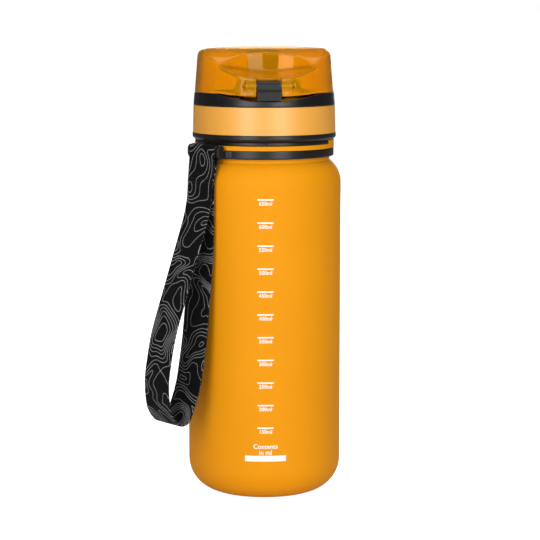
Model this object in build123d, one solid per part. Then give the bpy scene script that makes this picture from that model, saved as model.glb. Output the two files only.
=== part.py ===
from build123d import *
import os
from math import acos, atan, cos, degrees, radians, sin, sqrt

# Sports squeeze bottle with a screw cap, a flip lid and a wrist strap.
# Millimetres. +Z is up, the origin is on the bottle's axis at the surface it stands on.
# The lid's hinge is at -Y, its latch at +Y. Angles round the axis are counted from -Y towards +X.

# ---- bottle ----
body_r = 39.3
body_wall = 2.0
straight_top = 160.35       # where the straight side ends
base_round = 16.2
foot_w = 5.6                # width of the flat ring that the bottle stands on
foot_rise = 2.4             # depth of the hollow under the base
neck_inset = 8.8            # from the bottle's side in to the neck's side
neck_wall = 1.8
groove_step = 1.7           # neck's side out to the floor of the strap ring's groove
root_step = 1.2             # groove's floor out to the root of the neck
root_rise = 1.95            # the short step under the strap ring
flange_reach = 3.5          # groove's floor out to the flange's edge
flange_h = 2.3
shoulder_sweep = 50.0       # degrees of round before the shoulder runs straight to the neck
shoulder_run = 0.756        # how far in that straight part comes

# ---- collar clip, a C-shaped ring on the flange ----
clip_inset = 0.3            # in from the flange's edge
clip_h = 1.75
clip_turn = 226.0           # degrees that the clip goes round
clip_right_end = 63.0       # angle of its right-hand end
clip_tab_angle = -3.0
clip_tab_w = 3.6
clip_tab_drop = 1.45

# ---- strap ring, its lug and bar ----
ring_inset = 0.1            # in from the flange's edge
ring_h = 4.2
strap_angle = -55.0
bar_r = 0.9
bar_reach = 2.5             # flange's edge out to the bar's axis
bar_rise = 1.05             # ring's top up to the bar's axis
cheek_w = 2.3
webbing_w = 20.0
webbing_t = 1.0
seam_drop = 16.2            # bar axis down to the cross seam

# ---- thread ----
thread_lead = 8.0
thread_starts = 2
ridge_root_w = 1.8
ridge_tip_w = 0.9
ridge_depth = 1.7
ridge_room = 0.5            # between a ridge's tip and the wall across from it
neck_ridge_up = 5.9         # flange top to the start of the ridges
neck_ridge_turns = 0.8
cap_ridge_turns = 0.7

# ---- cap ----
rim_reach = 1.0             # flange's edge out to the cap's rim
rim_h = 3.4
rim_bevel = 1.3
core_wall = 1.7
band_h = 13.9
band_low_inset = 0.2        # these three are in from the cap's rim
band_top_inset = 0.5
upper_rim_inset = 1.0
lip_depth = 2.15            # band's top down to the bottle's lip, without the gaps
cap_top_t = 1.4
deck_t = 1.85
upper_rim_h = 6.4
upper_rim_wall = 1.5
rim_dip = 3.5               # how far the upper rim falls at the hinge
rim_dip_half = 26.0         # half the width of that dip
deck_plug_inset = 2.7       # in from the mouth
deck_plug_wall = 1.5
gasket_t = 1.4

# ---- spout ----
spout_inset = 11.5          # spout axis in from the round plug under the deck
spout_bore_r = 7.5
spout_wall = 1.2
spout_lip = 0.6             # how far the lip stands out from the waist
spout_foot = 3.3            # how far the foot stands out from the waist
spout_h = 13.0
spout_seal_t = 0.6

# ---- lid ----
lid_inset = 0.1             # in from the upper rim
lid_draft = 1.2 / 15.95     # inward lean of the side
lid_h = 23.45
lid_corner = 4.4
lid_crown = 1.3
lid_wall = 1.6
lid_dip = 1.35              # how far the lid's edge falls at the hinge
lid_dip_half = 24.0
vault_share = 1.48          # round of the top where it falls towards the hinge, as a share of scoop_edge
scoop_plan_r = 33.1         # round of the scoop's upright wall, seen from above
scoop_run = 17.5            # hinge pin to that wall
scoop_fall = 0.19           # slope of the scoop's floor
scoop_floor_r = 64.0
scoop_floor_up = 0.95       # hinge pin up to the floor, at scoop_edge from the axis, on the lid's heights
scoop_edge_run = 7.5        # hinge pin in to scoop_edge

# ---- hinge ----
hinge_inset = 3.1           # pin axis in from the lid's edge
hinge_up = 8.1              # pin axis above the deck
barrel_wall = 0.7
block_half = 5.95
knuckle_end = 11.7
pin_r = 0.9
spring_half = 4.2
spring_wire_r = 0.22
spring_room = 0.55          # pin's side out to the coil's middle, and from there to its bore
slot_inset = 0.6            # the lid's slot stops this far short of the barrel's back
barrel_room = 0.4           # round the barrel, so that the lid's slot swings past the block

# ---- latch ----
lever_half = 7.6
lever_reach = 0.3           # lid's edge out to the lever's front face
lever_t = 1.7
lever_top_up = 12.6         # above the deck
latch_pin_up = 4.9
latch_pin_inset = 2.6       # lever's front face in to its pin
latch_barrel_r = 1.8
latch_pin_r = 0.8
ear_w = 1.8
catch_inset = 0.1           # latch pin in to the outer face of the lid's catch bar
catch_up = 9.4
catch_h = 1.5
coil_mean_r = 1.0
coil_wire_r = 0.2
pad_room = 1.0              # pocket in the deck behind the lever's pad, for its travel

# ---- fits ----
run_gap = 0.05              # turning fits, each side
seat_gap = 0.05             # between pieces that lie on each other
side_gap = 0.3              # beside pieces that swing
plug_gap = 0.1

# ---- radii and reaches that follow, from the bottle's side inwards ----
foot_inner_r = body_r - base_round - foot_w
neck_r = body_r - neck_inset
mouth_r = neck_r - neck_wall
ring_seat_r = neck_r + groove_step
neck_root_r = ring_seat_r + root_step
flange_r = ring_seat_r + flange_reach
clip_r = flange_r - clip_inset
ring_r = flange_r - ring_inset
bar_out = flange_r + bar_reach
rim_r = flange_r + rim_reach
band_low_r = rim_r - band_low_inset
band_top_r = rim_r - band_top_inset
upper_rim_top_r = rim_r - upper_rim_inset
cap_bore_r = neck_r + ridge_depth + ridge_room
core_r = cap_bore_r + core_wall
deck_plug_r = mouth_r - deck_plug_inset
spout_out = deck_plug_r - spout_inset
spout_waist_r = spout_bore_r + spout_wall
spout_lip_r = spout_waist_r + spout_lip
spout_foot_r = spout_waist_r + spout_foot
lid_low_r = upper_rim_top_r - lid_inset
hinge_out = lid_low_r - hinge_inset
spring_mean_r = pin_r + spring_room
spring_bore_r = spring_mean_r + spring_room
barrel_r = spring_bore_r + barrel_wall
slot_reach = barrel_r - slot_inset
scoop_near = hinge_out - scoop_run
scoop_edge = hinge_out - scoop_edge_run
vault_r = scoop_edge * vault_share
scoop_floor_depth = lid_h - hinge_up - scoop_floor_up
lever_out = lid_low_r + lever_reach
latch_pin_out = lever_out - latch_pin_inset
catch_out = latch_pin_out - catch_inset

# ---- heights that follow ----
shoulder_round = (body_r - neck_root_r - shoulder_run) / (1 - cos(radians(shoulder_sweep)))
shoulder_centre = body_r - shoulder_round
shoulder_end_r = shoulder_centre + shoulder_round * cos(radians(shoulder_sweep))
shoulder_end_z = straight_top + shoulder_round * sin(radians(shoulder_sweep))
shoulder_slope = cos(radians(shoulder_sweep)) / sin(radians(shoulder_sweep))
root_z = shoulder_end_z + (shoulder_end_r - neck_root_r) * shoulder_slope
seat_z = root_z + root_rise
ring_z = seat_z + seat_gap
flange_z = ring_z + ring_h + seat_gap
flange_top = flange_z + flange_h
neck_ridge_z = flange_top + neck_ridge_up
neck_h = clip_h + rim_h + band_h - lip_depth
lip_z = flange_top + neck_h
clip_z = flange_top + seat_gap
rim_z = clip_z + clip_h + 2 * seat_gap
band_z = rim_z + rim_h + seat_gap
upper_rim_z = band_z + band_h + seat_gap
gasket_z = lip_z + seat_gap
cap_top_z = gasket_z + gasket_t + seat_gap
core_top = cap_top_z + cap_top_t
deck_z = core_top + seat_gap
deck_top = deck_z + deck_t
upper_rim_top = upper_rim_z + upper_rim_h
lid_z = upper_rim_top + seat_gap
lid_top = lid_z + lid_h
hinge_z = deck_top + hinge_up
bar_z = ring_z + ring_h + bar_rise
spout_z = deck_top + spout_seal_t + seat_gap
spout_top = spout_z + spout_h
latch_pin_z = deck_top + latch_pin_up
big = 200.0


def round_solid(*points):
    """A solid of revolution about Z from an outline of (radius, height) points."""
    face = make_face(Plane.XZ * Polyline(*points, close=True))
    return revolve(face, Axis.Z)


def tube(outer_r, inner_r, low, high):
    return round_solid((inner_r, low), (outer_r, low), (outer_r, high), (inner_r, high))


def post(radius, low, high, x=0.0, y=0.0):
    """An upright cylinder."""
    return Pos(x, y, low) * extrude(Circle(radius), high - low)


def rod(radius, x0, x1, y, z):
    """A cylinder along X."""
    return Pos(x0, y, z) * (Rot(0, 90, 0) * extrude(Circle(radius), x1 - x0))


def block(x0, x1, y0, y1, z0, z1):
    return Pos((x0 + x1) / 2, (y0 + y1) / 2, (z0 + z1) / 2) * Box(x1 - x0, y1 - y0, z1 - z0)


def turned(angle, solid):
    """A solid made on the -Y side, turned to its angle round the bottle."""
    return Rot(0, 0, angle) * solid


def wedge(inner_r, outer_r, low, high, from_angle, to_angle):
    """Part of a ring, from one angle to another."""
    outline = make_face(Plane.XZ * Polyline(
        (inner_r, low), (outer_r, low), (outer_r, high), (inner_r, high), close=True))
    return Rot(0, 0, from_angle - 90) * revolve(outline, Axis.Z, to_angle - from_angle)


def ridge(radius, depth, low, turns, start):
    """One thread ridge. It rises from radius by depth, outwards or (negative) inwards."""
    path = Helix(thread_lead, thread_lead * turns, radius)
    root, tip = ridge_root_w / 2, ridge_tip_w / 2
    sink = -0.4 if depth > 0 else 0.4
    section = Plane(path @ 0, x_dir=(1, 0, 0), z_dir=path % 0) * make_face(
        Polyline((sink, -root), (depth, -tip), (depth, tip), (sink, root), close=True))
    return Pos(0, 0, low) * (Rot(0, 0, start) * sweep(section, path=path, is_frenet=True))


def coil(mean_r, wire_r, length, pitch):
    """An open coil spring along Z from the origin."""
    path = Helix(pitch, length, mean_r)
    section = Plane(path @ 0, x_dir=(1, 0, 0), z_dir=path % 0) * Circle(wire_r)
    return sweep(section, path=path, is_frenet=True)


def make_bottle():
    """The squeezable bottle: hollow foot, round shoulder, ring groove, flange and threaded neck."""
    base_r = body_r - base_round
    corner = radians(45)
    with BuildPart() as bottle:
        with BuildSketch(Plane.XZ):
            with BuildLine():
                inner_round = base_round - body_wall
                shoulder_in = shoulder_round - body_wall
                end_r = shoulder_centre + shoulder_in * cos(radians(shoulder_sweep))
                end_z = straight_top + shoulder_in * sin(radians(shoulder_sweep))
                mouth_z = end_z + (end_r - mouth_r) * shoulder_slope
                half = radians(shoulder_sweep / 2)
                Polyline((0, foot_rise + body_wall), (0, foot_rise), (foot_inner_r - 3, foot_rise),
                         (foot_inner_r, 0), (base_r, 0))
                ThreePointArc((base_r, 0),
                              (base_r + base_round * sin(corner), base_round * (1 - cos(corner))),
                              (body_r, base_round))
                Line((body_r, base_round), (body_r, straight_top))
                ThreePointArc((body_r, straight_top),
                              (shoulder_centre + shoulder_round * cos(half),
                               straight_top + shoulder_round * sin(half)),
                              (shoulder_end_r, shoulder_end_z))
                Polyline((shoulder_end_r, shoulder_end_z), (neck_root_r, root_z), (neck_root_r, seat_z),
                         (ring_seat_r, seat_z), (ring_seat_r, flange_z), (flange_r, flange_z),
                         (flange_r, flange_top), (neck_r, flange_top), (neck_r, lip_z),
                         (mouth_r, lip_z), (mouth_r, mouth_z), (end_r, end_z))
                ThreePointArc((end_r, end_z),
                              (shoulder_centre + shoulder_in * cos(half),
                               straight_top + shoulder_in * sin(half)),
                              (body_r - body_wall, straight_top))
                Line((body_r - body_wall, straight_top), (body_r - body_wall, base_round))
                ThreePointArc((body_r - body_wall, base_round),
                              (base_r + inner_round * sin(corner), base_round - inner_round * cos(corner)),
                              (base_r, body_wall))
                Polyline((base_r, body_wall), (foot_inner_r + 0.5, body_wall),
                         (foot_inner_r - 2.5, foot_rise + body_wall), (0, foot_rise + body_wall))
            make_face()
        revolve(axis=Axis.Z)
    solid = bottle.part
    # the flange stands higher where the clip leaves it free
    gap = 0.6
    solid += wedge(neck_r - 0.3, flange_r, flange_top - 0.3, clip_z + clip_h,
                   clip_right_end + gap, clip_right_end + 360 - clip_turn - gap)
    notch_low = clip_z - clip_tab_drop - seat_gap
    solid -= turned(clip_tab_angle, block(-clip_tab_w / 2 - 0.1, clip_tab_w / 2 + 0.1, -flange_r - 2,
                                          -clip_r + 1.2, notch_low, clip_z + 1))
    for start in range(thread_starts):
        solid += ridge(neck_r, ridge_depth, neck_ridge_z, neck_ridge_turns, start * 360 / thread_starts)
    return solid


def make_clip():
    """The black C-ring that clips round the neck on the flange, with a small tab in front."""
    clip = wedge(neck_r + run_gap, clip_r, clip_z, clip_z + clip_h,
                 clip_right_end - clip_turn, clip_right_end)
    tab = turned(clip_tab_angle, block(-clip_tab_w / 2, clip_tab_w / 2, -clip_r - 0.2, -clip_r + 1.1,
                                       clip_z - clip_tab_drop, clip_z + clip_h / 2))
    return clip + tab


def make_ring():
    """The strap ring, with two cheeks that hold the strap's bar outside the flange."""
    ring = tube(ring_r, ring_seat_r + run_gap, ring_z, ring_z + ring_h)
    cheek_in = webbing_w / 2 + side_gap
    cheek = extrude(Plane.YZ * make_face(Polyline(
        (-ring_r + 2.4, ring_z), (-bar_out - 0.6, ring_z), (-bar_out - bar_r - 0.7, ring_z + 1.6),
        (-bar_out - bar_r - 0.7, bar_z), (-bar_out - 0.4, bar_z + 1.5), (-flange_r - side_gap, bar_z + 1.5),
        (-flange_r - side_gap, ring_z + ring_h), (-ring_r + 2.4, ring_z + ring_h), close=True)), cheek_w)
    ring += turned(strap_angle, Pos(cheek_in, 0, 0) * cheek)
    ring += turned(strap_angle, Pos(-cheek_in - cheek_w, 0, 0) * cheek)
    foot = make_face(Plane.XY * Polyline(
        (cheek_in + 0.1, -ring_r + 1), (cheek_in + 0.1, -bar_out + 1.4),
        (cheek_in + cheek_w + 2.8, -ring_r + 4.4), (cheek_in + cheek_w, -ring_r + 5.4), close=True))
    for mirror_x in (False, True):
        web = Pos(0, 0, ring_z + 0.3) * extrude(foot, ring_h - 0.6)
        web = mirror(web, Plane.YZ) if mirror_x else web
        ring += turned(strap_angle, web)
    ring -= post(ring_seat_r + run_gap, ring_z - 1, ring_z + ring_h + 1)
    return ring - turned(strap_angle, rod(bar_r + 0.02, -cheek_in - cheek_w + 0.5, cheek_in + cheek_w - 0.5,
                                          -bar_out, bar_z))


def make_bar():
    half = webbing_w / 2 + side_gap + cheek_w - 0.55
    return turned(strap_angle, rod(bar_r, -half, half, -bar_out, bar_z))


def beside(route, bends, gap):
    """A route's inner corners and their bends, moved a gap to its left."""
    ways = [(Vector(*after) - Vector(*before)).normalized() for before, after in zip(route, route[1:])]
    corners, rounds = [], []
    for way, next_way, corner, bend in zip(ways, ways[1:], route[1:-1], bends):
        left = Vector(-way.Y - next_way.Y, way.X + next_way.X).normalized()
        moved = Vector(*corner) + left * (gap / left.dot(Vector(-way.Y, way.X)))
        corners.append((moved.X, moved.Y))
        turns_left = way.X * next_way.Y - way.Y * next_way.X > 0
        rounds.append(bend - gap if turns_left else bend + gap)
    return corners, rounds


def make_strap():
    """The wrist strap: an eye round the bar, a sewn seam, and the hanging loop, all one webbing."""
    half = webbing_t / 2
    eye_in = bar_r + plug_gap
    eye_out = eye_in + webbing_t
    seam_z = bar_z - seam_drop
    seam = body_r + 0.45 + webbing_t
    sewn = 1.5
    # (out from the axis, up): down the outer strand, round the bottom and up the strand by the bottle
    route = [
        (seam + half, seam_z),
        (seam + 1.0, seam_z - 12.5),
        (seam + 12.9, seam_z - 45.5),
        (seam + 24.5, seam_z - 77),
        (seam + 29.0, seam_z - 101),
        (seam + 26.8, seam_z - 115.5),
        (seam + 17.7, seam_z - 125.5),
        (seam + 8.9, seam_z - 105),
        (seam + 4.6, seam_z - 81),
        (seam - 0.1, seam_z - 35),
        (seam - half, seam_z),
    ]
    bends = [60, 200, 90, 45, 14, 5, 60, 200, 150]
    corners, rounds = beside(route, bends, half)
    edge = FilletPolyline(
        (bar_out + eye_out, bar_z), (seam + webbing_t, seam_z), *corners,
        (seam - webbing_t, seam_z), (bar_out - eye_out, bar_z), radius=[40, *rounds, 40])
    over = ThreePointArc((bar_out - eye_out, bar_z), (bar_out, bar_z + eye_out), (bar_out + eye_out, bar_z))
    corners, rounds = beside(route, bends, -half)
    hole_top = seam_z - sewn
    hole = FilletPolyline((seam + 0.1, hole_top), *corners, (seam, hole_top), radius=rounds)
    hole_end = Line((seam, hole_top), (seam + 0.1, hole_top))
    eye = Polyline((bar_out - eye_in, bar_z), (seam - 0.1, seam_z + sewn), (seam + 0.1, seam_z + sewn),
                   (bar_out + eye_in, bar_z))
    eye_top = ThreePointArc((bar_out + eye_in, bar_z), (bar_out, bar_z + eye_in), (bar_out - eye_in, bar_z))
    # from a plane sketch (out, up) to the upright plane through the axis, on the -Y side
    upright = Plane((0, 0, 0), x_dir=(0, -1, 0), z_dir=(-1, 0, 0))
    whole, hand_hole, bar_hole = (
        make_face([*run.edges(), close]) for run, close in ((edge, over), (hole, hole_end), (eye, eye_top)))
    strap = extrude(upright * whole, webbing_w / 2, both=True)
    for gap in (hand_hole, bar_hole):
        strap -= extrude(upright * gap, webbing_w, both=True)
    return turned(strap_angle, strap)


def make_cap_shell():
    """The threaded shell of the cap with its bevelled lower rim."""
    shell = round_solid(
        (cap_bore_r, rim_z), (rim_r - rim_bevel - 0.4, rim_z), (rim_r, rim_z + rim_bevel),
        (rim_r, rim_z + rim_h - 0.3), (rim_r - 0.3, rim_z + rim_h), (core_r, rim_z + rim_h),
        (core_r, core_top), (deck_plug_r + seat_gap, core_top), (deck_plug_r + seat_gap, cap_top_z),
        (cap_bore_r, cap_top_z))
    for start in range(thread_starts):
        shell += ridge(cap_bore_r, -ridge_depth, neck_ridge_z - thread_lead / thread_starts / 2,
                       cap_ridge_turns, start * 360 / thread_starts)
    return shell


def make_band():
    return round_solid((core_r + seat_gap, band_z), (band_low_r, band_z), (band_top_r, band_z + band_h),
                       (core_r + seat_gap, band_z + band_h))


def dipped(low, dip, half_width):
    """Everything above an edge that stands at low + dip, and falls to low at the hinge."""
    radius = (half_width ** 2 + dip ** 2) / (2 * dip)
    return Pos(0, 0, low + radius) * (Rot(90, 0, 0) * extrude(Circle(radius), big))


def make_deck():
    """The cap's top: a plate with the upper rim round it, the latch ears and the spout's hole."""
    inner_r = upper_rim_top_r - upper_rim_wall
    deck = round_solid(
        (0, deck_z), (core_r + seat_gap, deck_z), (core_r + seat_gap, upper_rim_z),
        (band_top_r, upper_rim_z), (upper_rim_top_r, upper_rim_top), (inner_r, upper_rim_top), (inner_r, deck_top), (0, deck_top))
    deck += tube(deck_plug_r, deck_plug_r - deck_plug_wall, cap_top_z, deck_z + 0.2)
    deck -= dipped(upper_rim_top - rim_dip, rim_dip, rim_dip_half)
    # the rim opens for the latch lever
    opening = lever_half + ear_w + side_gap
    deck -= block(-opening, opening, inner_r - 2, band_top_r + 1, deck_top, upper_rim_top + 1)
    deck -= block(-lever_half - side_gap, lever_half + side_gap, inner_r - pad_room, band_top_r + 1,
                  deck_top - 1.3, upper_rim_top + 1)
    ear_low = deck_top - 0.2
    for side in (-1, 1):
        x0 = side * (lever_half + 0.15)
        x1 = side * (lever_half + 0.15 + ear_w)
        ear = block(min(x0, x1), max(x0, x1), latch_pin_out - 1.9, latch_pin_out + 1.7, ear_low, latch_pin_z)
        ear += rod(1.7, min(x0, x1), max(x0, x1), latch_pin_out, latch_pin_z)
        deck += ear
    pin_end = lever_half + 0.15 + ear_w
    deck -= rod(latch_pin_r + 0.02, -pin_end - 1, pin_end + 1, latch_pin_out, latch_pin_z)
    return deck - post(spout_bore_r + 1.7, deck_z - 3, deck_top + 1, y=spout_out)


def make_gasket():
    return tube(cap_bore_r - 0.3, mouth_r, gasket_z, gasket_z + gasket_t)


def make_spout():
    """The mouthpiece: a foot on the deck, a waist and a rolled lip, with a stem down through the deck."""
    stem_r = spout_bore_r + 1.6
    spout = round_solid(
        (spout_bore_r, deck_z - 2.0), (stem_r, deck_z - 2.0), (stem_r, spout_z), (spout_foot_r, spout_z),
        (spout_foot_r, spout_z + 1.4), (spout_waist_r + 0.9, spout_z + 2.6), (spout_waist_r, spout_z + 7.0),
        (spout_waist_r, spout_top - 3.4), (spout_lip_r, spout_top - 1.6), (spout_lip_r, spout_top - 0.5),
        (spout_lip_r - 0.5, spout_top), (spout_bore_r, spout_top))
    return Pos(0, spout_out, 0) * spout


def make_spout_seal():
    return Pos(0, spout_out, 0) * tube(spout_foot_r - 0.4, spout_bore_r + 1.8, deck_top + 0.02,
                                       deck_top + spout_seal_t)


def lid_side(height):
    return lid_low_r - (height - lid_z) * lid_draft


def lid_form(shrink):
    """The lid's full form, or the form inside its wall: a drafted side, a round corner and a crown."""
    low = lid_z - lid_dip - (shrink and 5)
    top = lid_top - shrink
    corner_z = top - lid_crown
    corner_r = lid_side(corner_z) - shrink
    crown_mid = top - lid_crown / 4
    with BuildPart() as form:
        with BuildSketch(Plane.XZ):
            with BuildLine():
                Polyline((0, top), (0, low), (lid_side(low) - shrink, low), (corner_r, corner_z))
                ThreePointArc((corner_r, corner_z), (corner_r / 2, crown_mid), (0, top))
            make_face()
            corner = vertices().sort_by(Axis.X)[-2]
            fillet(corner, lid_corner - shrink)
        revolve(axis=Axis.Z)
    solid = form.part
    # the top falls towards the hinge
    keep = Pos(0, 0, lid_top - vault_r) * (Rot(0, 90, 0) * Cylinder(vault_r - shrink, big))
    fall = block(-50, 50, -scoop_edge, 0, lid_top - vault_r, lid_top + 5) - keep
    # the scoop at the hinge: an upright hollow wall and a sloping trough for a floor
    lean = atan(scoop_fall)
    floor_r = scoop_floor_r + shrink
    along = Vector(0, cos(lean), sin(lean))
    lift = Vector(0, -sin(lean), cos(lean)) * scoop_floor_r
    lowest = Vector(0, -scoop_edge, lid_top - scoop_floor_depth)
    trough = Plane(lowest + lift, x_dir=(1, 0, 0), z_dir=along) * Cylinder(floor_r, big)
    wall = post(scoop_plan_r + shrink, lid_z - 3, lid_top + 5, y=-scoop_near - scoop_plan_r)
    return solid - fall - (wall & trough)


def make_lid():
    """The clear flip lid: a thin shell with its scoop, hinge knuckles and a catch bar for the latch."""
    hinge_y = -hinge_out
    shell = lid_form(0)
    knuckles = rod(barrel_r, -knuckle_end, knuckle_end, hinge_y, hinge_z)
    boss = Pos(0, -hinge_out + 0.4, hinge_z - 0.4) * (Rot(-90, 0, 0) * extrude(Circle(4.2), 2.4))
    inside = lid_form(lid_wall)
    lid = shell - inside
    lid += knuckles
    lid += (Pos(15.5, 0, 0) * boss) & shell
    lid += (Pos(-15.5, 0, 0) * boss) & shell
    # the lower edge: level, and falling a little towards the hinge
    level = block(-50, 50, -50, 50, lid_z - 20, lid_z)
    lid -= level - dipped(lid_z - lid_dip, lid_dip, lid_dip_half)
    lid -= rod(pin_r + run_gap, -knuckle_end - 1, knuckle_end + 1, hinge_y, hinge_z)
    slot = block_half + side_gap
    lid -= block(-slot, slot, -50, hinge_y + slot_reach, lid_z - 10, lid_top - 10)
    lid -= rod(barrel_r + barrel_room, -slot, slot, hinge_y, hinge_z)
    # the window for the latch, with the catch bar across it
    window = lever_half + side_gap
    lid -= block(-window, window, catch_out - 3, 50, lid_z - 5, deck_top + lever_top_up + 0.4)
    ears = lever_half + 0.15 + ear_w + side_gap
    lid -= block(-ears, ears, latch_pin_out - 3, 50, lid_z - 5, latch_pin_z + 2.2)
    bar_low = deck_top + catch_up
    bar = block(-window - 1.5, window + 1.5, catch_out - 1.6, catch_out, bar_low, bar_low + catch_h)
    return lid + (bar & lid_form(0))


def make_block():
    """The black hinge block on the deck, with its barrel between the lid's knuckles."""
    hinge_y = -hinge_out
    front = hinge_y - barrel_r
    low = deck_top + seat_gap
    over_rim = upper_rim_top - rim_dip + 0.25
    inner = -sqrt((upper_rim_top_r - upper_rim_wall) ** 2 - (block_half + 0.3) ** 2) + 0.15
    side = make_face(Plane.YZ * Polyline(
        (inner, low), (hinge_y + barrel_r, low), (hinge_y + barrel_r, hinge_z), (front, hinge_z),
        (front, over_rim), (inner, over_rim), close=True))
    solid = extrude(side, block_half, both=True)
    solid += rod(barrel_r, -block_half, block_half, hinge_y, hinge_z)
    groove_z = hinge_z - barrel_r + 0.1
    solid -= block(-10, 10, front - 1, front + 0.35, groove_z - 0.2, groove_z + 0.2)
    recess = make_face(Plane.XZ * Polyline((-2.9, hinge_z + 0.9), (2.9, hinge_z + 0.9), (3.6, hinge_z - 1.9),
                                           (-3.6, hinge_z - 1.9), close=True))
    solid -= Pos(0, front + 0.5, 0) * extrude(recess, 3)
    solid -= rod(pin_r + 0.02, -10, 10, hinge_y, hinge_z)
    return solid - rod(spring_bore_r, -spring_half, spring_half, hinge_y, hinge_z)


def make_hinge_pin():
    return rod(pin_r, -knuckle_end + 0.1, knuckle_end - 0.1, -hinge_out, hinge_z)


def make_hinge_spring():
    length = 2 * spring_half - 0.8
    spring = coil(spring_mean_r, spring_wire_r, length, 1.0)
    return Pos(-length / 2, -hinge_out, hinge_z) * (Rot(0, 90, 0) * spring)


def make_carrier():
    """The dark cup under the lid that holds the soft plug over the spout."""
    low = spout_top + 1.7
    cup = post(8.3, low, lid_top, y=spout_out) - post(6.9, low + 1.2, lid_top + 1, y=spout_out)
    cup += post(1.8, low, lid_top, y=spout_out)
    return cup & lid_form(lid_wall + 0.02)


def make_plug():
    """The soft plug: a flange over the spout's lip and a taper into its bore."""
    low = spout_top + plug_gap
    mouth = spout_bore_r - plug_gap
    plug = round_solid((0, low - 4.0), (mouth - 2.0, low - 4.0), (mouth - 0.5, low - 1.6), (mouth, low),
                       (spout_lip_r - 0.4, low), (spout_lip_r - 0.4, low + 1.5), (0, low + 1.5))
    return Pos(0, spout_out, 0) * plug


def make_lever():
    """The latch lever: a pad below its pin, a plate above it and a nose over the lid's catch."""
    inner = lever_out - lever_t
    top = deck_top + lever_top_up
    low = deck_top - 0.9
    nose_low = deck_top + catch_up + catch_h + 0.2
    side = make_face(Plane.YZ * Polyline(
        (inner, low), (lever_out, low), (lever_out, latch_pin_z), (lever_out - 0.6, top - 0.6),
        (lever_out - 1.2, top), (catch_out + run_gap, top), (catch_out + run_gap, nose_low),
        (inner - 0.4, nose_low - 0.9), (inner - 0.2, latch_pin_z + 1.2), (latch_pin_out, latch_pin_z + 1.4),
        (latch_pin_out, latch_pin_z - 1.4), (inner, latch_pin_z - 1.6), close=True))
    lever = extrude(side, lever_half, both=True)
    lever += rod(latch_barrel_r, -lever_half, lever_half, latch_pin_out, latch_pin_z)
    rounded = lever_out + 0.4
    lever &= post(rounded, low - 1, top + 1)
    return lever - rod(latch_pin_r + run_gap, -lever_half - 1, lever_half + 1, latch_pin_out, latch_pin_z)


def make_latch_pin():
    half = lever_half + 0.1 + ear_w
    return rod(latch_pin_r, -half, half, latch_pin_out, latch_pin_z)


def make_latch_spring():
    """A small coil between the deck's edge and the lever's pad."""
    inner = lever_out - lever_t
    length = 2.2
    spring = Rot(-90, 0, 0) * coil(coil_mean_r, coil_wire_r, length, 0.75)
    return Pos(0, inner - length - 0.35, deck_top + 1.6) * spring


parts = {
    "bottle_body": make_bottle,
    "collar_clip": make_clip,
    "strap_ring": make_ring,
    "strap_bar": make_bar,
    "wrist_strap": make_strap,
    "cap_shell": make_cap_shell,
    "cap_band": make_band,
    "cap_deck": make_deck,
    "cap_gasket": make_gasket,
    "spout": make_spout,
    "spout_seal": make_spout_seal,
    "flip_lid": make_lid,
    "plug_carrier": make_carrier,
    "seal_plug": make_plug,
    "hinge_block": make_block,
    "hinge_pin": make_hinge_pin,
    "hinge_spring": make_hinge_spring,
    "latch_lever": make_lever,
    "latch_pin": make_latch_pin,
    "latch_spring": make_latch_spring,
}

os.makedirs("parts", exist_ok=True)
for name, make in parts.items():
    export_step(make(), f"parts/{name}.step")
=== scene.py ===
from math import acos, atan2, ceil, cos, pi, radians, sin, tan

import bmesh
import bpy
import numpy as np
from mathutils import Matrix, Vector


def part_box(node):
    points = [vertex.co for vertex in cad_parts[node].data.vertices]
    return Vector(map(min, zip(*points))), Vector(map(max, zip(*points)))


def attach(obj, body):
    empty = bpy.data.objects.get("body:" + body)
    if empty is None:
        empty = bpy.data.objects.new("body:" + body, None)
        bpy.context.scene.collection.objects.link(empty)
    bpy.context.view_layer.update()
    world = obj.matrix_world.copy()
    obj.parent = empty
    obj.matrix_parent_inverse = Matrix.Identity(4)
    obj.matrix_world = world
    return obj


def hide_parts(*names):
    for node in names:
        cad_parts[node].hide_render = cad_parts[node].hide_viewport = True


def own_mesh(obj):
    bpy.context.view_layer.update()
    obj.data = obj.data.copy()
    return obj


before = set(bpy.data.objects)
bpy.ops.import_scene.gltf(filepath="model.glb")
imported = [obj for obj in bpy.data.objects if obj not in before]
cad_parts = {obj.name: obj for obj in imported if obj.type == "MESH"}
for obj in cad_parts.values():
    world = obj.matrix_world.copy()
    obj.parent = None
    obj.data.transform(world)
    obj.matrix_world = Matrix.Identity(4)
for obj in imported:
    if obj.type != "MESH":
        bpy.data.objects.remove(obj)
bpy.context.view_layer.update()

# The looks of a sports squeeze bottle: frosted body, banded screw cap, clear flip lid and a wrist strap.
# Metres, on the CAD frame: +Z up, hinge at -Y, latch at +Y. Angles are counted from -Y towards +X.

mm = 0.001
full_turn = 2 * pi


# ---------------------------------------------------------------- sizes

def top_of(part):
    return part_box(part)[1].z


def foot_of(part):
    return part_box(part)[0].z


def middle_of(part):
    low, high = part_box(part)
    return (low + high) / 2


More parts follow.
